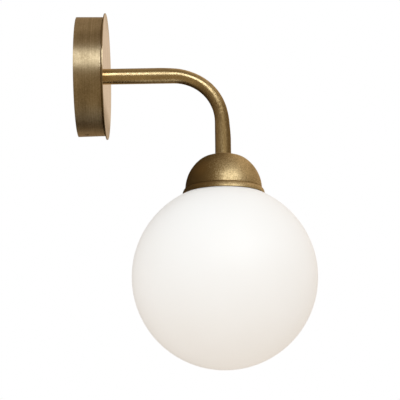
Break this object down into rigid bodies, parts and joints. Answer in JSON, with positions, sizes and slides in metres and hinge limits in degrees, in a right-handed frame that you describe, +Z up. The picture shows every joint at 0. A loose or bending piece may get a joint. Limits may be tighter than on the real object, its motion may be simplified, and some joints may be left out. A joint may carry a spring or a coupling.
{
  "type": "globe wall sconce",
  "caption": "Wall light with a round brass canopy, a bent brass tube arm, a small brass dome and an opal glass ball that unscrews, hanging below it.",
  "frame": {"origin": "centre of the canopy on the wall plane, midway between the two wall screws", "axes": "+Z up, -Y out from the wall along the arm, +X to the right as seen from the room; the wall is the plane y = 0"},
  "size_m": [0.15, 0.194, 0.2963],
  "materials": {
    "aged_brass": "brushed antique brass",
    "bright_brass": "plain turned brass",
    "opal_glass": "satin opal white",
    "clear_glass": "clear",
    "zinc_steel": "bright zinc plated",
    "nickel": "nickel plated, satin",
    "silicone": "translucent white, matt",
    "white_nylon": "natural white",
    "black_resin": "black moulded",
    "ceramic": "glazed white ceramic",
    "cap_insulator": "black vitrite",
    "filament": "yellow coated",
    "brown_pvc": "brown insulation",
    "blue_pvc": "blue insulation",
    "green_yellow_pvc": "green and yellow insulation"
  },
  "bodies": {
    "mounting": {"canopy_cup": "aged_brass", "canopy_disc": "aged_brass", "wall_bracket": "zinc_steel", "canopy_screws": "aged_brass", "earth_screw": "bright_brass", "earth_lug": "nickel", "terminal_block": "white_nylon", "terminal_clamps": "bright_brass", "terminal_screws": "zinc_steel", "block_screw": "zinc_steel", "arm_tube": "aged_brass", "wall_nipple": "zinc_steel", "wall_lock_washer": "zinc_steel", "wall_nut": "zinc_steel", "wall_wire_bush": "white_nylon", "lamp_nipple": "zinc_steel", "lamp_lock_washer": "zinc_steel", "lamp_nut": "zinc_steel", "lamp_wire_bush": "white_nylon", "dome_cover": "aged_brass", "gallery_ring": "bright_brass", "lampholder_cap": "black_resin", "lampholder_sleeve": "black_resin", "holder_lock_screw": "zinc_steel", "contact_insert": "ceramic", "holder_screws": "bright_brass", "screw_shell": "nickel", "centre_contact": "nickel", "live_wire": "brown_pvc", "neutral_wire": "blue_pvc", "earth_wire": "green_yellow_pvc"},
    "globe_carriage": {"globe_gasket": "silicone"},
    "globe": {"glass_globe": "opal_glass"},
    "bulb_carriage": {"bulb_tip": "nickel"},
    "bulb": {"bulb_insulator": "cap_insulator", "bulb_base": "nickel", "bulb_glass": "clear_glass", "bulb_stem": "clear_glass", "filament_frame": "nickel", "bulb_filaments": "filament"}
  },
  "joints": [
    {"name": "globe_drop", "type": "slide", "parent": "mounting", "child": "globe_carriage", "axis": [0, 0, -1], "range_m": [0, 0.008]},
    {"name": "globe_turn", "type": "hinge", "parent": "globe_carriage", "child": "globe", "pos_m": [0, -0.119, -0.17], "axis": [0, 0, -1], "range_deg": [0, 720]},
    {"name": "bulb_drop", "type": "slide", "parent": "mounting", "child": "bulb_carriage", "axis": [0, 0, -1], "range_m": [0, 0.01692]},
    {"name": "bulb_turn", "type": "hinge", "parent": "bulb_carriage", "child": "bulb", "pos_m": [0, -0.119, -0.14], "axis": [0, 0, -1], "range_deg": [0, 2160]}
  ],
  "couplings": [
    {"joint": "globe_drop", "follows": "globe_turn", "m_per_rad": 0.00063662},
    {"joint": "bulb_drop", "follows": "bulb_turn", "m_per_rad": 0.00044882}
  ]
}
